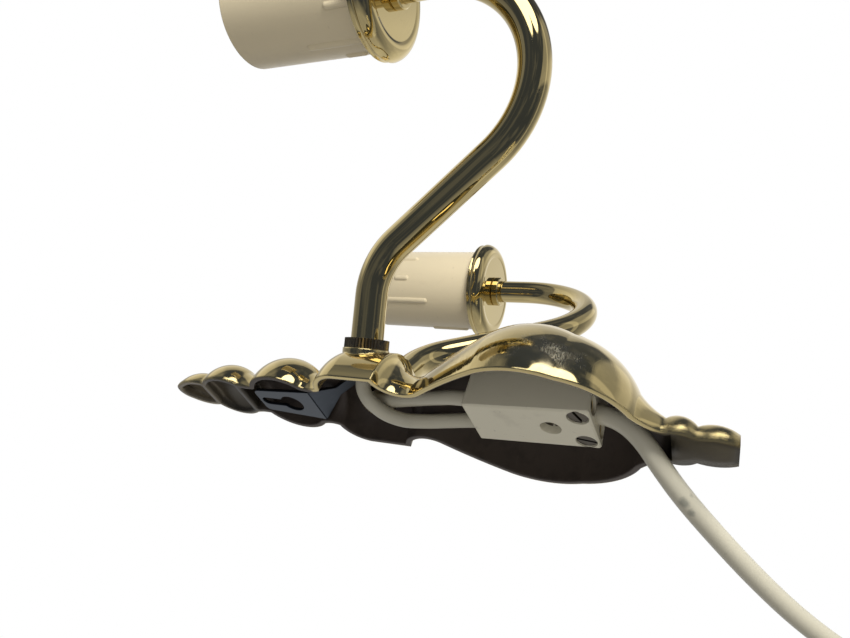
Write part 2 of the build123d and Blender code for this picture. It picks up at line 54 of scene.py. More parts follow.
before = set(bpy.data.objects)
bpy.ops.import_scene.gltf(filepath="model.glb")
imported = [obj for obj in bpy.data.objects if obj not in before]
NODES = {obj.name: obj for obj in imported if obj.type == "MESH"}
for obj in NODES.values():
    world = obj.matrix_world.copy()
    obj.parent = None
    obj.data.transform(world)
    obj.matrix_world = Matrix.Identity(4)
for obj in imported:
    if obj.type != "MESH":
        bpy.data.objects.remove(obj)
CAD_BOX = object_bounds()
SIDES = ("left", "right")

# The studio's directions: which way the photograph's right, down and forward run in the row frame
PHOTO_RIGHT = Vector((0.2946, -0.2988, -0.9077))
PHOTO_DOWN = Vector((0.6400, 0.7671, -0.0447))
PHOTO_FORWARD = Vector((0.7096, -0.5677, 0.4172))


def colour(name, description, value):
    """A colour that a user can change."""
    return FloatVectorProperty(name=name, description=description, subtype="COLOR", size=3, min=0, max=1,
                               default=value)


def share(name, description, value):
    """A number from 0 to 1 that a user can change."""
    return FloatProperty(name=name, description=description, subtype="FACTOR", min=0, max=1, default=value)


def length(name, description, value):
    """A length in metres that a user can change."""
    return FloatProperty(name=name, description=description, unit="LENGTH", precision=5, default=value)


def power(name, description, value):
    """A light's power that a user can change."""
    return FloatProperty(name=name, description=description, unit="POWER", default=value)


class BrassSettings(bpy.types.PropertyGroup):
    polished: colour("Polished brass", "Colour of the lacquered outside", (0.63, 0.51, 0.245))
    tarnish: colour("Tarnish", "Colour that the brass turns where hands and dust have been", (0.34, 0.24, 0.10))
    back_colour: colour("Unpolished back", "Colour of the brass inside the plate", (0.080, 0.062, 0.049))
    # Painted shade: the dark colour on the flat backs of the foot and the finial
    shaded_back: colour("Shaded back", "Colour of the solid foot's flat back", (0.064, 0.054, 0.037))
    # Painted reflection: the lighter colour on the finial tip's dished back
    pocket_reflection: colour("Finial's pocket", "Colour of the dished back of the finial's tip", (0.25, 0.21, 0.145))
    antique: colour("Antique rings", "Colour of the knurled rings", (0.33, 0.26, 0.155))
    roughness: share("Polish", "Roughness of the polished outside", 0.035)
    wear: share("Wear", "How much of the polish is scratched", 0.35)


class PlasticSettings(bpy.types.PropertyGroup):
    ivory: colour("Candle ivory", "Colour of the candle sleeves", (0.82, 0.70, 0.47))
    block: colour("Terminal block", "Colour of the moulded block", (0.87, 0.81, 0.63))
    flex: colour("Flex", "Colour of the flex and the leads", (0.61, 0.57, 0.445))
    holder: colour("Lampholder", "Colour of the lampholders", (0.030, 0.026, 0.024))


class SteelSettings(bpy.types.PropertyGroup):
    hanger: colour("Hanger", "Colour of the sheet steel hanger", (0.105, 0.118, 0.135))
    screw: colour("Screws", "Colour of the slotted screws", (0.11, 0.095, 0.075))


class SocketSettings(bpy.types.PropertyGroup):
    pitch: length("Pitch", "From turn to turn of the thread", 0.00363)
    depth: length("Depth", "Depth of the rolled thread", 0.0008)
    sheet: length("Sheet", "Thickness of the metal", 0.0004)


class FlexSettings(bpy.types.PropertyGroup):
    diameter: length("Diameter", "Outside of the flex", 0.0054)
    turn_pitch: length("Pitch", "From turn to turn of the coil", 0.006)
    coil_radius: length("Coil", "Radius of the outermost turn", 0.0423)


class StudioSettings(bpy.types.PropertyGroup):
    background: FloatProperty(name="Background", description="Strength of the white background", default=1.0)
    glint: FloatProperty(name="Glint", description="Extra strength of the mirrored window", default=2.2)
    ambient: FloatProperty(name="Ambient", description="Strength of the light from all round", default=0.20)
    key_power: power("Key light", "Power of the light above the viewer", 2.4)
    fill_power: power("Fill light", "Power of the low light beside the viewer", 0.85)
    room_power: power("Room light", "Power of the light across from the viewer", 5.0)
    drop: length("Drop", "From the plug down to the floor", 0.25)
    reach: length("Floor", "Radius of the floor", 1.4)
    focal_pixels: FloatProperty(name="Focal length", description="In pixels of the picture", default=669.9)


class WallLightSettings(bpy.types.PropertyGroup):
    brass: PointerProperty(type=BrassSettings)
    plastic: PointerProperty(type=PlasticSettings)
    steel: PointerProperty(type=SteelSettings)
    socket: PointerProperty(type=SocketSettings)
    flex: PointerProperty(type=FlexSettings)
    studio: PointerProperty(type=StudioSettings)


def settings():
    return bpy.context.scene.wall_light


# Shader helpers

def rgba(value):
    return (*value, 1)


class Tree:
    """Adds and links the nodes of one tree."""

    def __init__(self, tree):
        self.tree = tree

    def add(self, kind, values=None, **attributes):
        node = self.tree.nodes.new(kind)
        for key, value in attributes.items():
            setattr(node, key, value)
        for key, value in (values or {}).items():
            self.set(node.inputs[key], value)
        return node

    def set(self, socket, value):
        if isinstance(value, bpy.types.NodeSocket):
            self.tree.links.new(value, socket)
        else:
            socket.default_value = value

    def math(self, operation, first, second=0.0, third=0.0):
        node = self.add("ShaderNodeMath", operation=operation)
        for socket, value in zip(node.inputs, (first, second, third)):
            self.set(socket, value)
        return node.outputs[0]

    def vector(self, operation, first, second=(0, 0, 0)):
        node = self.add("ShaderNodeVectorMath", operation=operation)
        self.set(node.inputs[0], first)
        self.set(node.inputs[1], second)
        return node.outputs["Value" if operation in ("DOT_PRODUCT", "DISTANCE") else "Vector"]

    def mix(self, factor, first, second):
        node = self.add("ShaderNodeMix", data_type="RGBA")
        self.set(node.inputs["Factor"], factor)
        self.set(node.inputs["A"], first)
        self.set(node.inputs["B"], second)
        return node.outputs["Result"]

    def ramp(self, factor, stops):
        node = self.add("ShaderNodeValToRGB")
        while len(node.color_ramp.elements) < len(stops):
            node.color_ramp.elements.new(0.5)
        for element, (place, value) in zip(node.color_ramp.elements, stops):
            element.position = place
            element.color = (value, value, value, 1)
        self.set(node.inputs["Fac"], factor)
        return node.outputs["Color"]

    def range(self, value, low, high):
        node = self.add("ShaderNodeMapRange", {"From Min": low, "From Max": high})
        self.set(node.inputs["Value"], value)
        return node.outputs["Result"]


def shader_group(name, inputs, outputs):
    """An empty node group with named float or colour sockets."""
    group = bpy.data.node_groups.new(name, "ShaderNodeTree")
    for socket, kind, value in inputs:
        made = group.interface.new_socket(socket, in_out="INPUT", socket_type=kind)
        made.default_value = value
    for socket, kind in outputs:
        group.interface.new_socket(socket, in_out="OUTPUT", socket_type=kind)
    tree = Tree(group)
    start = tree.add("NodeGroupInput")
    end = tree.add("NodeGroupOutput")
    return group, tree, start.outputs, end.inputs


def smudge_group():
    """Soft patches, such as finger marks and dust."""
    group, tree, given, result = shader_group(
        "Smudges",
        [("Scale", "NodeSocketFloat", 90.0), ("Cover", "NodeSocketFloat", 0.5),
         ("Softness", "NodeSocketFloat", 0.15)],
        [("Mask", "NodeSocketFloat")])
    place = tree.add("ShaderNodeTexCoord").outputs["Object"]
    noise = tree.add("ShaderNodeTexNoise", {"Vector": place, "Scale": given["Scale"], "Detail": 6.0,
                                            "Roughness": 0.62})
    low = tree.math("SUBTRACT", 1.0, given["Cover"])
    high = tree.math("ADD", low, given["Softness"])
    tree.set(result["Mask"], tree.range(noise.outputs["Fac"], low, high))
    return group


# The ways that scratches run, in radians, and how far they are drawn out
SCRATCH_TURNS = ((0.3, 0.8, 0.2), (1.1, 0.2, 0.9), (2.0, 1.4, 0.5))
SCRATCH_STRETCH = (1.0, 0.07, 1.0)


def scratch_group():
    """Fine crossed scratches, thicker in patches."""
    group, tree, given, result = shader_group(
        "Fine scratches",
        [("Scale", "NodeSocketFloat", 700.0), ("Amount", "NodeSocketFloat", 0.5)],
        [("Mask", "NodeSocketFloat")])
    place = tree.add("ShaderNodeTexCoord").outputs["Object"]
    lines = None
    for turn in SCRATCH_TURNS:
        turned = tree.add("ShaderNodeMapping", {"Vector": place, "Rotation": turn, "Scale": SCRATCH_STRETCH})
        cells = tree.add("ShaderNodeTexVoronoi", {"Vector": turned.outputs[0], "Scale": given["Scale"]},
                         feature="DISTANCE_TO_EDGE")
        line = tree.range(cells.outputs["Distance"], 0.035, 0.0)
        lines = line if lines is None else tree.math("MAXIMUM", lines, line)
    patches = tree.add("ShaderNodeTexNoise", {"Vector": place, "Scale": 55.0, "Detail": 3.0})
    patch = tree.range(patches.outputs["Fac"], 0.52, 0.68)
    tree.set(result["Mask"], tree.math("MULTIPLY", tree.math("MULTIPLY", lines, patch), given["Amount"]))
    return group


def spot_group():
    """One worn or dirty place, ragged at its edge."""
    group, tree, given, result = shader_group(
        "Worn spot",
        [("Centre", "NodeSocketVector", (0, 0, 0)), ("Reach", "NodeSocketFloat", 0.01)],
        [("Mask", "NodeSocketFloat")])
    place = tree.add("ShaderNodeTexCoord").outputs["Object"]
    noise = tree.add("ShaderNodeTexNoise", {"Vector": place, "Scale": 420.0, "Detail": 5.0, "Roughness": 0.6})
    away = tree.math("DIVIDE", tree.vector("DISTANCE", place, given["Centre"]), given["Reach"])
    ragged = tree.math("MULTIPLY_ADD", noise.outputs["Fac"], 1.4, tree.math("SUBTRACT", away, 0.7))
    tree.set(result["Mask"], tree.range(ragged, 1.0, 0.45))
    return group


GROUPS = {"Smudges": smudge_group, "Fine scratches": scratch_group, "Worn spot": spot_group}


def group_node(tree, name, **values):
    """Places a shared effect in a material, and builds it the first time."""
    group = bpy.data.node_groups.get(name) or GROUPS[name]()
    return tree.add("ShaderNodeGroup", values, node_tree=group).outputs["Mask"]


def new_finish(name, **constants):
    """A material with one Principled shader whose constant sockets are set on it."""
    material = bpy.data.materials.new(name)
    material.use_nodes = True
    tree = Tree(material.node_tree)
    shader = material.node_tree.nodes["Principled BSDF"]
    for key, value in constants.items():
        shader.inputs[key.replace("_", " ")].default_value = value
    return material, tree, shader


def rounded_edges(tree, radius, samples=6):
    """Normals that make sharp edges look rounded off."""
    return tree.add("ShaderNodeBevel", {"Radius": radius}, samples=samples).outputs["Normal"]


def bump(tree, shader, height, distance, strength, normal=None):
    """Relief on a shader, over the normals given."""
    node = tree.add("ShaderNodeBump", {"Height": height, "Distance": distance, "Strength": strength})
    if normal is not None:
        tree.set(node.inputs["Normal"], normal)
    tree.set(shader.inputs["Normal"], node.outputs["Normal"])


def wear_finish(material, *names):
    """Gives a finish to the CAD nodes of those names."""
    for name in names:
        mesh = NODES[name].data
        mesh.materials.clear()
        mesh.materials.append(material)


def both(*names):
    """The left and the right node of each name."""
    return [f"{side}_{name}" for name in names for side in SIDES]


# Finishes

# Where the dome's polish is rubbed through, and how far round each place, in metres
DOME_SCUFFS = (((-0.0276, -0.0068, -0.0830), 0.0075), ((-0.0263, -0.0068, -0.0880), 0.0065))
SCUFFED = (0.80, 0.76, 0.62)
# The plate's zones, each from where it starts to show to where it is whole, in metres
# Past this the finial's flat back is darkened, as painted shade
FINIAL = (0.014, 0.018)
# Past this the finial tip's dished back is lighter, as a painted reflection
TIP_POCKET = (0.028, 0.036)
BEAD_RIMS = (-0.0130, -0.0100)
# Past this the foot's flat back is darkened, as painted shade
FOOT = (-0.1085, -0.1120)
# On this side of the plate the rim is darkened, as painted shade
FAR_SIDE = (-0.002, 0.006)
# How far the edges are rounded in the look, in metres
PLATE_EDGE, FINIAL_EDGE, FOOT_EDGE = 0.0008, 0.0012, 0.0035
CUP_EDGE, SLEEVE_EDGE, SHEET_EDGE, BLOCK_EDGE, PLUG_EDGE = 0.0004, 0.0004, 0.0003, 0.0003, 0.0006
# Heights of the fine relief, in metres
SCRATCH_DEPTH = 0.00002
SKIN_DEPTH = 0.00003
# What settles on each plastic
IVORY_DIRT = (0.52, 0.42, 0.27)
HOLDER_DUST = (0.12, 0.11, 0.10)
BLOCK_DIRT = (0.40, 0.34, 0.26)
FLEX_DIRT = (0.27, 0.27, 0.22)
PLUG_DIRT = (0.40, 0.38, 0.36)
PIN_METAL = (0.48, 0.47, 0.45)


def polished_brass(name, edge=0.0):
    """Lacquered brass with tarnish and fine scratches."""
    brass = settings().brass
    material, tree, shader = new_finish(name, Metallic=1.0)
    base, rough, scratches = brass_wear(tree, brass)
    tree.set(shader.inputs["Base Color"], base)
    tree.set(shader.inputs["Roughness"], rough)
    bump(tree, shader, scratches, SCRATCH_DEPTH, 0.5, rounded_edges(tree, edge) if edge else None)
    return material


def brass_wear(tree, brass):
    """Colour, roughness and scratches of brass that has been handled."""
    tarnish = group_node(tree, "Smudges", Scale=60.0, Cover=0.45, Softness=0.30)
    specks = group_node(tree, "Smudges", Scale=620.0, Cover=0.33, Softness=0.05)
    scratches = group_node(tree, "Fine scratches", Scale=420.0, Amount=brass.wear)
    base = tree.mix(tree.math("MULTIPLY", tarnish, 0.22), rgba(brass.polished), rgba(brass.tarnish))
    base = tree.mix(tree.math("MULTIPLY", specks, 0.45), base, rgba(brass.tarnish))
    rough = tree.math("MULTIPLY_ADD", tarnish, 0.04, brass.roughness)
    rough = tree.math("MULTIPLY_ADD", specks, 0.08, rough)
    rough = tree.math("MULTIPLY_ADD", scratches, 0.40, rough)
    return base, rough, scratches


def plate_brass():
    """Polished outside with rubbed places on the dome; the hollow is left unpolished, dull and dark. The flat
    backs of the foot and the finial and the far rim carry painted shade, and the finial tip's dished back a
    painted reflection.
    """
    brass = settings().brass
    material, tree, shader = new_finish("Plate brass")
    base, rough, scratches = brass_wear(tree, brass)
    for centre, reach in DOME_SCUFFS:
        rubbed = group_node(tree, "Worn spot", Centre=centre, Reach=reach)
        fine = group_node(tree, "Fine scratches", Scale=1300.0, Amount=4.0)
        mark = tree.math("MULTIPLY", rubbed, tree.math("MULTIPLY_ADD", fine, 0.75, 0.25))
        base = tree.mix(tree.math("MULTIPLY", mark, 0.55), base, rgba(SCUFFED))
        rough = tree.math("MULTIPLY_ADD", mark, 0.30, rough)
    place = tree.add("ShaderNodeTexCoord").outputs["Object"]
    along = tree.add("ShaderNodeSeparateXYZ", {"Vector": place}).outputs
    finial = tree.range(along["Z"], *FINIAL)
    foot = tree.range(along["Z"], *FOOT)
    far = tree.range(along["X"], *FAR_SIDE)
    ends = tree.math("MAXIMUM", finial, foot)
    edge = tree.math("MULTIPLY_ADD", finial, FINIAL_EDGE, PLATE_EDGE)
    rounded = rounded_edges(tree, tree.math("MULTIPLY_ADD", foot, FOOT_EDGE, edge), samples=10)
    # The back is what faces the turning axis; on the beads and the far side the rim counts as back too, and on the
    # far side that dark rim is painted shade
    outward = tree.vector("NORMALIZE", tree.vector("MULTIPLY", place, (1, 1, 0)))
    beads = tree.math("MAXIMUM", foot, tree.range(along["Z"], *BEAD_RIMS))
    facing = tree.math("MULTIPLY_ADD", tree.math("MAXIMUM", beads, far), -0.75,
                       tree.vector("DOT_PRODUCT", outward, rounded))
    # Painted shade: on the foot's far side the edge that turns toward the wall is darkened like the back
    wallward = tree.range(tree.vector("DOT_PRODUCT", rounded, (0, 1, 0)), 0.10, 0.40)
    foot_far_shade = tree.math("MULTIPLY", wallward, tree.math("MULTIPLY", foot, far))
    back = tree.math("MAXIMUM", tree.range(facing, -0.20, -0.42), foot_far_shade)
    cast = group_node(tree, "Smudges", Scale=200.0, Cover=0.5, Softness=0.35)
    darker = tuple(0.5 * value for value in brass.back_colour)
    # Mottled colour of the hollow; on the flat backs of the foot and the finial a darker colour, which is painted
    # shade
    back_colour = tree.mix(ends, tree.mix(cast, rgba(brass.back_colour), rgba(darker)), rgba(brass.shaded_back))
    # On the finial's tip the dished back is lighter, a painted reflection
    back_colour = tree.mix(tree.range(along["Z"], *TIP_POCKET), back_colour, rgba(brass.pocket_reflection))
    tree.set(shader.inputs["Base Color"], tree.mix(back, base, back_colour))
    dull = tree.math("MULTIPLY", back, tree.math("MULTIPLY_ADD", ends, -0.18, 0.42))
    tree.set(shader.inputs["Roughness"], tree.math("ADD", dull, rough))
    skin = tree.math("MULTIPLY_ADD", finial, 0.6, tree.math("SUBTRACT", 1.0, ends))
    skin = tree.math("MULTIPLY", back, skin)
    tree.set(shader.inputs["Metallic"], tree.math("MULTIPLY_ADD", skin, -0.75, 1.0))
    bump(tree, shader, scratches, SCRATCH_DEPTH, 0.5, rounded)
    return material


def antique_brass():
    """Darkened brass, rubbed bright in specks."""
    brass = settings().brass
    material, tree, shader = new_finish("Antique brass", Metallic=1.0)
    worn = group_node(tree, "Smudges", Scale=900.0, Cover=0.45, Softness=0.15)
    tint = tree.mix(tree.math("MULTIPLY", worn, 0.4), rgba(brass.antique), rgba(brass.tarnish))
    tree.set(shader.inputs["Base Color"], tint)
    tree.set(shader.inputs["Roughness"], tree.math("MULTIPLY_ADD", worn, -0.12, 0.32))
    return material


def sheet_steel(name, base, rough, edge=0.0):
    """Plain steel, cloudy and scratched."""
    material, tree, shader = new_finish(name, Metallic=1.0)
    cloud = group_node(tree, "Smudges", Scale=160.0, Cover=0.5, Softness=0.35)
    scratches = group_node(tree, "Fine scratches", Scale=500.0, Amount=0.6)
    lighter = tuple(min(1.0, 1.7 * value) for value in base)
    tint = tree.mix(tree.math("MULTIPLY", cloud, 0.6), rgba(base), rgba(lighter))
    tree.set(shader.inputs["Base Color"], tint)
    tree.set(shader.inputs["Roughness"], tree.math("MULTIPLY_ADD", cloud, 0.12, rough))
    bump(tree, shader, scratches, SCRATCH_DEPTH, 0.4, rounded_edges(tree, edge) if edge else None)
    return material


def moulded_plastic(name, base, rough, dirt, dirt_amount, coat=0.0, spots=(), edge=0.0):
    """Moulded plastic with a faint skin texture, dust and handling marks."""
    material, tree, shader = new_finish(name, Coat_Weight=coat, Coat_Roughness=0.12)
    shader.inputs["Specular IOR Level"].default_value = 0.45
    dust = group_node(tree, "Smudges", Scale=120.0, Cover=0.40, Softness=0.25)
    marks = group_node(tree, "Smudges", Scale=380.0, Cover=0.34, Softness=0.05)
    tint = tree.mix(tree.math("MULTIPLY", dust, dirt_amount), rgba(base), rgba(dirt))
    tint = tree.mix(tree.math("MULTIPLY", marks, dirt_amount), tint, rgba(dirt))
    for centre, reach in spots:
        spot = group_node(tree, "Worn spot", Centre=centre, Reach=reach)
        tint = tree.mix(tree.math("MULTIPLY", spot, 0.75), tint, rgba(dirt))
    tree.set(shader.inputs["Base Color"], tint)
    tree.set(shader.inputs["Roughness"], tree.math("MULTIPLY_ADD", dust, 0.12, rough))
    place = tree.add("ShaderNodeTexCoord").outputs["Object"]
    skin = tree.add("ShaderNodeTexNoise", {"Vector": place, "Scale": 1600.0, "Detail": 2.0})
    bump(tree, shader, skin.outputs["Fac"], SKIN_DEPTH, 0.25, rounded_edges(tree, edge) if edge else None)
    return material


# Operators

class PlateOperator(bpy.types.Operator):
    """Polishes the plate's outside, leaves its hollow unpolished, and paints shade on its ends' backs and far rim
    and a reflection in the finial's tip
    """
    bl_idname = "wall_light.dress_plate"
    bl_label = "Dress the plate"

    def execute(self, context):
        wear_finish(plate_brass(), "backplate")
        return {"FINISHED"}


class ArmOperator(bpy.types.Operator):
    """Polishes the arms, collars and cups, and darkens the knurled rings"""
    bl_idname = "wall_light.dress_arms"
    bl_label = "Dress the arms"

    def execute(self, context):
        wear_finish(polished_brass("Arm brass"), *both("arm_tube"))
        wear_finish(polished_brass("Cup brass", edge=CUP_EDGE), *both("cup_collar", "drip_cup"))
        wear_finish(antique_brass(), *both("lock_ring", "inner_ring"))
        return {"FINISHED"}


class CandleOperator(bpy.types.Operator):
    """Gives the candle sleeves, lampholders and contacts their finishes"""
    bl_idname = "wall_light.dress_candles"
    bl_label = "Dress the candles"

    def execute(self, context):
        plastic = settings().plastic
        ivory = moulded_plastic("Candle ivory", plastic.ivory, 0.34, IVORY_DIRT, 0.25, coat=0.15, edge=SLEEVE_EDGE)
        wear_finish(ivory, *both("candle_sleeve"))
        holder = moulded_plastic("Lampholder", plastic.holder, 0.42, HOLDER_DUST, 0.4)
        wear_finish(holder, *both("holder_body"))
        wear_finish(polished_brass("Contact brass"), *both("centre_contact"))
        return {"FINISHED"}


# The threaded sockets' faces: round each tube, and along it
SOCKET_SIDES, SOCKET_ROWS = 64, 96


def rolled_socket(name, low, high):
    """A tube of thin sheet with a round thread rolled into it, plain at both ends."""
    sizes = settings().socket
    centre = (low + high) / 2
    outside = (high.x - low.x) / 2
    tall = high.z - low.z
    sides, rows = SOCKET_SIDES, SOCKET_ROWS
    points, faces = [], []
    for skin in (0.0, sizes.sheet):
        for row in range(rows + 1):
            height = tall * row / rows
            full = min(height, tall - height, sizes.pitch) / sizes.pitch
            for step in range(sides):
                angle = 2 * math.pi * step / sides
                wave = 0.5 - 0.5 * math.cos(2 * math.pi * height / sizes.pitch - angle)
                radius = outside - skin - sizes.depth * full * wave
                points.append((centre.x + radius * math.cos(angle), centre.y + radius * math.sin(angle),
                               low.z + height))

    def corner(skin, row, step):
        return (skin * (rows + 1) + row) * sides + step % sides

    for step in range(sides):
        for row in range(rows):
            faces.append([corner(0, row, step), corner(0, row, step + 1), corner(0, row + 1, step + 1),
                          corner(0, row + 1, step)])
            faces.append([corner(1, row, step), corner(1, row + 1, step), corner(1, row + 1, step + 1),
                          corner(1, row, step + 1)])
        faces.append([corner(0, 0, step), corner(1, 0, step), corner(1, 0, step + 1), corner(0, 0, step + 1)])
        faces.append([corner(0, rows, step), corner(0, rows, step + 1), corner(1, rows, step + 1),
                      corner(1, rows, step)])
    mesh = bpy.data.meshes.new(name)
    mesh.from_pydata(points, [], faces)
    mesh.shade_smooth()
    socket = bpy.data.objects.new(name, mesh)
    bpy.context.scene.collection.objects.link(socket)
    return socket


class SocketOperator(bpy.types.Operator):
    """Rolls the threaded sockets of the lampholders"""
    bl_idname = "wall_light.roll_sockets"
    bl_label = "Roll the sockets"

    def execute(self, context):
        brass = polished_brass("Socket brass")
        for side in SIDES:
            low, high = (Vector(corner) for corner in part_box(f"{side}_screw_shell"))
            socket = rolled_socket(f"{side}_threaded_socket", low, high)
            socket.data.materials.append(brass)
            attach(socket, f"{side}_arm")
            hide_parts(f"{side}_screw_shell")
        return {"FINISHED"}


class HangerOperator(bpy.types.Operator):
    """Gives the hanger its plain steel finish"""
    bl_idname = "wall_light.dress_hanger"
    bl_label = "Dress the hanger"

    def execute(self, context):
        steel = sheet_steel("Hanger steel", settings().steel.hanger, 0.42, edge=SHEET_EDGE)
        wear_finish(steel, "hanger_bracket")
        return {"FINISHED"}


class TerminalOperator(bpy.types.Operator):
    """Gives the terminal block and its metal their finishes"""
    bl_idname = "wall_light.dress_terminals"
    bl_label = "Dress the terminals"

    def execute(self, context):
        block = settings().plastic.block
        wear_finish(moulded_plastic("Block plastic", block, 0.45, BLOCK_DIRT, 0.3, edge=BLOCK_EDGE),
                    "terminal_block")
        wear_finish(sheet_steel("Screw steel", settings().steel.screw, 0.35), "terminal_screws", "block_screw")
        wear_finish(polished_brass("Terminal brass"), "terminal_barrels")
        return {"FINISHED"}


# The flex's route in metres, from its seat in the block to the start of the coil
FLEX_ROUTE = (
    (-0.0010, -0.0070, -0.08906), (-0.0014576, -0.0070, -0.094716), (-0.0013, -0.0052, -0.1007),
    (0.0004, -0.0015, -0.1058), (0.0038, 0.0035, -0.1103), (0.0098, 0.0082, -0.1159), (0.0192, 0.0127, -0.1239),
    (0.0289, 0.0177, -0.1332), (0.0384, 0.0221, -0.1432), (0.0470, 0.0256, -0.1545), (0.0534, 0.0280, -0.1675),
    (0.0564, 0.0290, -0.1810), (0.0564, 0.0290, -0.1940),
)
# Where the flex is marked, and how far round each place, in metres
FLEX_MARKS = (((0.0080, 0.0102, -0.1160), 0.0017), ((0.0102, 0.0115, -0.1179), 0.0013),
              ((0.0073, 0.0080, -0.1179), 0.0010))
COIL_TURNS_IN = 3.5
POINTS_A_TURN = 16
COIL_TAIL = 0.028


def coil_points(flex):
    """The coil's turns: in along one layer, then out along the next."""
    start = Vector(FLEX_ROUTE[-1])
    centre = start - Vector((flex.coil_radius, 0, flex.diameter))
    points = []
    steps = round(2 * COIL_TURNS_IN * POINTS_A_TURN)
    outset = 1 / math.cos(math.pi / POINTS_A_TURN) ** 0.5
    for step in range(steps + 1):
        turn = step / POINTS_A_TURN
        from_middle = turn - COIL_TURNS_IN
        radius = outset * (flex.coil_radius - flex.turn_pitch * (COIL_TURNS_IN - abs(from_middle)))
        climb = min(max(2 * from_middle + 0.5, 0), 1)
        layer = flex.turn_pitch * climb * climb * (3 - 2 * climb)
        angle = 2 * math.pi * turn
        points.append(centre + Vector((radius * math.cos(angle), -layer, -radius * math.sin(angle))))
    end = points[-1]
    for part in (0.5, 1.0):
        points.append(end - Vector((0, 0, COIL_TAIL * part)))
    return points


class FlexOperator(bpy.types.Operator):
    """Lays the flex as one smooth curve, and finishes the leads, the tie and the plug"""
    bl_idname = "wall_light.lay_flex"
    bl_label = "Lay the flex"

    def execute(self, context):
        flex = settings().flex
        plastic = settings().plastic
        curve = bpy.data.curves.new("flex", "CURVE")
        curve.dimensions = "3D"
        curve.bevel_depth = flex.diameter / 2
        curve.bevel_resolution = 6
        curve.resolution_u = 8
        curve.use_fill_caps = True
        spline = curve.splines.new("NURBS")
        points = [Vector(point) for point in FLEX_ROUTE] + coil_points(flex)
        spline.points.add(len(points) - 1)
        for point, place in zip(spline.points, points):
            point.co = (*place, 1)
        spline.order_u = 3
        spline.use_endpoint_u = True
        cord = bpy.data.objects.new("flex", curve)
        context.scene.collection.objects.link(cord)
        sheath = moulded_plastic("Flex sheath", plastic.flex, 0.30, FLEX_DIRT, 0.22, coat=0.2, spots=FLEX_MARKS)
        curve.materials.append(sheath)
        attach(cord, "plate")
        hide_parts("supply_cord", "cord_coil")
        wear_finish(sheath, *both("plate_lead", "arm_lead"))
        plug = moulded_plastic("Plug plastic", plastic.flex, 0.36, PLUG_DIRT, 0.2, edge=PLUG_EDGE)
        wear_finish(plug, "plug_body")
        wear_finish(moulded_plastic("Tie plastic", plastic.flex, 0.5, PLUG_DIRT, 0.3), "coil_tie")
        wear_finish(sheet_steel("Pin metal", PIN_METAL, 0.22), "plug_pins")
        return {"FINISHED"}


def photo_way(right, up, back):
    """A direction given as in the photograph: to its right, up, and back to the viewer."""
    return (PHOTO_RIGHT * right - PHOTO_DOWN * up - PHOTO_FORWARD * back).normalized()


LIGHT_AIM = Vector((-0.01, -0.04, -0.04))


def area_light(name, towards, distance, size, energy):
    """A square soft light that stands off from the part; the metal mirrors the room, not the light."""
    lamp = bpy.data.lights.new(name, "AREA")
    lamp.size = size
    lamp.energy = energy
    holder = bpy.data.objects.new(name, lamp)
    holder.location = LIGHT_AIM + towards * distance
    holder.rotation_mode = "QUATERNION"
    holder.rotation_quaternion = (-towards).to_track_quat("-Z", "Y")
    holder.visible_glossy = False
    bpy.context.scene.collection.objects.link(holder)


# The mirrored room: which way its things lie, how light they are, and its darkest and lightest colours
WINDOW = photo_way(0.18, 0.88, 0.42)
SECOND_PANE = photo_way(-0.22, 0.80, 0.55)
BACKDROP = photo_way(0.35, 0.0, -1.0)
SCREEN = photo_way(-0.45, 0.0, -1.0)
BACKDROP_STOPS = ((0.0, 0.0), (0.44, 0.13), (0.71, 0.32), (0.80, 0.44), (0.92, 0.76), (1.0, 1.0))
SCREEN_EDGE, SCREEN_RISE = 0.38, 0.46
CEILING_SHADE = -0.92
TABLE_LIGHT, SIDE_LIGHT, STRIP_LIGHT, CARD_LIGHT, CLUTTER_LIGHT = 0.38, 0.16, 0.30, 0.32, 0.07
ROOM_DARK = (0.052, 0.064, 0.100)
ROOM_PALE = (1.0, 0.985, 0.95)


def mirrored_room(tree, way):
    """How light the room is in each direction, and where its window is."""
    def along(direction):
        return tree.vector("DOT_PRODUCT", way, tuple(direction))

    def lit(level, mask, light):
        return tree.math("MULTIPLY_ADD", mask, light, level)

    up, down, left, ahead = along(-PHOTO_DOWN), along(PHOTO_DOWN), along(-PHOTO_RIGHT), along(PHOTO_FORWARD)
    backdrop = tree.ramp(tree.range(along(BACKDROP), -0.2, 1.0), BACKDROP_STOPS)
    shaded = tree.math("MULTIPLY_ADD", tree.range(up, 0.36, 0.46), CEILING_SHADE, 1.0)
    corner = along(SCREEN)
    screen = tree.math("MULTIPLY", tree.range(corner, 0.46, 0.49), SCREEN_EDGE)
    screen = lit(screen, tree.range(corner, 0.49, 0.86), SCREEN_RISE)
    screen = tree.math("MULTIPLY", screen, tree.range(up, 0.26, 0.40))
    level = tree.math("MAXIMUM", tree.math("MULTIPLY", backdrop, shaded), screen)
    level = lit(level, tree.range(down, 0.50, 0.80), TABLE_LIGHT)
    side = tree.math("MULTIPLY", tree.range(left, 0.30, 0.42), tree.range(ahead, -0.24, -0.14))
    level = lit(level, side, SIDE_LIGHT)
    off_strip = tree.math("ABSOLUTE", tree.math("ADD", ahead, 0.10))
    strip = tree.math("MULTIPLY", tree.range(left, -0.55, -0.65), tree.range(off_strip, 0.10, 0.06))
    level = lit(level, strip, STRIP_LIGHT)
    card = tree.math("MULTIPLY", tree.range(left, -0.62, -0.68), tree.range(up, 0.16, 0.22))
    level = lit(level, card, CARD_LIGHT)
    clutter = tree.add("ShaderNodeTexNoise", {"Vector": way, "Scale": 3.2, "Detail": 4.0, "Roughness": 0.6})
    level = lit(level, tree.range(clutter.outputs["Fac"], 0.50, 0.62), CLUTTER_LIGHT)
    pane = tree.math("MAXIMUM", tree.range(along(WINDOW), 0.955, 0.963),
                     tree.range(along(SECOND_PANE), 0.972, 0.978))
    return tree.math("ADD", level, pane), pane


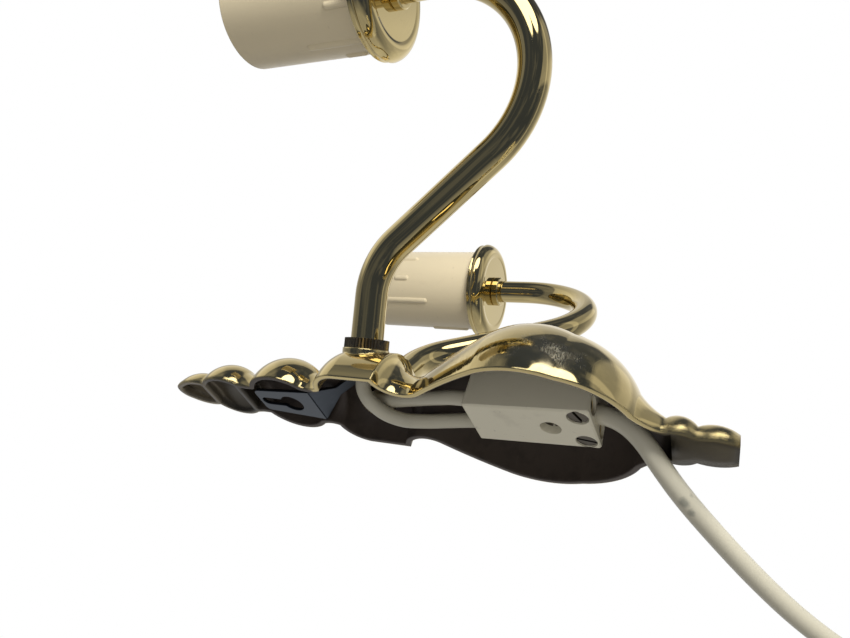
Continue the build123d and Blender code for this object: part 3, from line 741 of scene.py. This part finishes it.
def studio_world(studio):
    """White for the camera and soft for plain surfaces; polished metal mirrors a room."""
    world = bpy.data.worlds.new("Studio")
    world.use_nodes = True
    tree = Tree(world.node_tree)
    world.node_tree.nodes.clear()
    level, pane = mirrored_room(tree, tree.add("ShaderNodeTexCoord").outputs["Generated"])
    room = tree.mix(level, rgba(ROOM_DARK), rgba(ROOM_PALE))
    glint = tree.math("MULTIPLY_ADD", pane, studio.glint, studio.background)
    ray = tree.add("ShaderNodeLightPath").outputs
    soft = tree.add("ShaderNodeBackground", {"Color": (1.0, 0.99, 0.97, 1), "Strength": studio.ambient})
    mirror = tree.add("ShaderNodeBackground", {"Color": room, "Strength": glint})
    white = tree.add("ShaderNodeBackground", {"Color": (1, 1, 1, 1), "Strength": studio.background})
    first = tree.add("ShaderNodeMixShader", {0: ray["Is Glossy Ray"], 1: soft.outputs[0], 2: mirror.outputs[0]})
    second = tree.add("ShaderNodeMixShader", {0: ray["Is Camera Ray"], 1: first.outputs[0], 2: white.outputs[0]})
    tree.add("ShaderNodeOutputWorld", {"Surface": second.outputs[0]})
    return world


FLOOR_SIDES = 96
FLOOR_COLOUR = (0.86, 0.86, 0.85)
FLOOR_GLOW = (0.44, 0.44, 0.435)


def studio_floor(level, reach):
    """A round pale floor; its glow shows to the camera alone, so that it lights nothing."""
    mesh = bpy.data.meshes.new("floor")
    turns = [2 * math.pi * step / FLOOR_SIDES for step in range(FLOOR_SIDES)]
    mesh.from_pydata([(reach * math.cos(turn), reach * math.sin(turn), level) for turn in turns], [],
                     [tuple(range(FLOOR_SIDES))])
    floor = bpy.data.objects.new("floor", mesh)
    bpy.context.scene.collection.objects.link(floor)
    pale, tree, shader = new_finish("Pale floor", Roughness=0.8)
    shader.inputs["Base Color"].default_value = rgba(FLOOR_COLOUR)
    shader.inputs["Emission Color"].default_value = rgba(FLOOR_GLOW)
    ray = tree.add("ShaderNodeLightPath").outputs
    tree.set(shader.inputs["Emission Strength"], ray["Is Camera Ray"])
    mesh.materials.append(pale)
    floor.visible_glossy = False


CAMERA_PLACE = (-0.15455, 0.08693, -0.12477)
SENSOR_WIDTH = 36
PICTURE_WIDTH = 850


class StudioOperator(bpy.types.Operator):
    """Sets the floor, the white background, the lights and the camera"""
    bl_idname = "wall_light.set_studio"
    bl_label = "Set the studio"

    def execute(self, context):
        scene = context.scene
        studio = settings().studio
        scene.view_settings.view_transform = "Standard"
        scene.world = studio_world(studio)
        studio_floor(CAD_BOX[0].z - studio.drop, studio.reach)
        area_light("Key light", photo_way(0.30, 0.74, 0.60), 0.42, 0.20, studio.key_power)
        area_light("Fill light", photo_way(-0.35, -0.30, 0.90), 0.70, 0.5, studio.fill_power)
        area_light("Room light", photo_way(0.0, 0.20, -1.0), 0.90, 0.6, studio.room_power)
        lens = bpy.data.cameras.new("Camera")
        lens.sensor_width = SENSOR_WIDTH
        lens.lens = studio.focal_pixels * SENSOR_WIDTH / PICTURE_WIDTH
        lens.clip_start = 0.01
        camera = bpy.data.objects.new("Camera", lens)
        axes = Matrix((PHOTO_RIGHT, -PHOTO_DOWN, -PHOTO_FORWARD)).transposed()
        camera.matrix_world = Matrix.Translation(CAMERA_PLACE) @ axes.to_4x4()
        scene.collection.objects.link(camera)
        scene.camera = camera
        return {"FINISHED"}


class WallLightPanel(bpy.types.Panel):
    """Lists the wall light's steps"""
    bl_idname = "VIEW3D_PT_wall_light"
    bl_label = "Wall light"
    bl_space_type = "VIEW_3D"
    bl_region_type = "UI"
    bl_category = "Wall light"

    def draw(self, context):
        for step in STEPS:
            self.layout.operator(step.bl_idname)


STEPS = (PlateOperator, ArmOperator, CandleOperator, SocketOperator, HangerOperator, TerminalOperator,
         FlexOperator, StudioOperator)
CLASSES = (BrassSettings, PlasticSettings, SteelSettings, SocketSettings, FlexSettings, StudioSettings,
           WallLightSettings, *STEPS, WallLightPanel)


def register():
    for each in CLASSES:
        bpy.utils.register_class(each)
    bpy.types.Scene.wall_light = PointerProperty(type=WallLightSettings)


def unregister():
    del bpy.types.Scene.wall_light
    for each in reversed(CLASSES):
        bpy.utils.unregister_class(each)


def main():
    register()
    bpy.ops.wall_light.dress_plate()
    bpy.ops.wall_light.dress_arms()
    bpy.ops.wall_light.dress_candles()
    bpy.ops.wall_light.roll_sockets()
    bpy.ops.wall_light.dress_hanger()
    bpy.ops.wall_light.dress_terminals()
    bpy.ops.wall_light.lay_flex()
    bpy.ops.wall_light.set_studio()


if __name__ == "__main__":
    main()
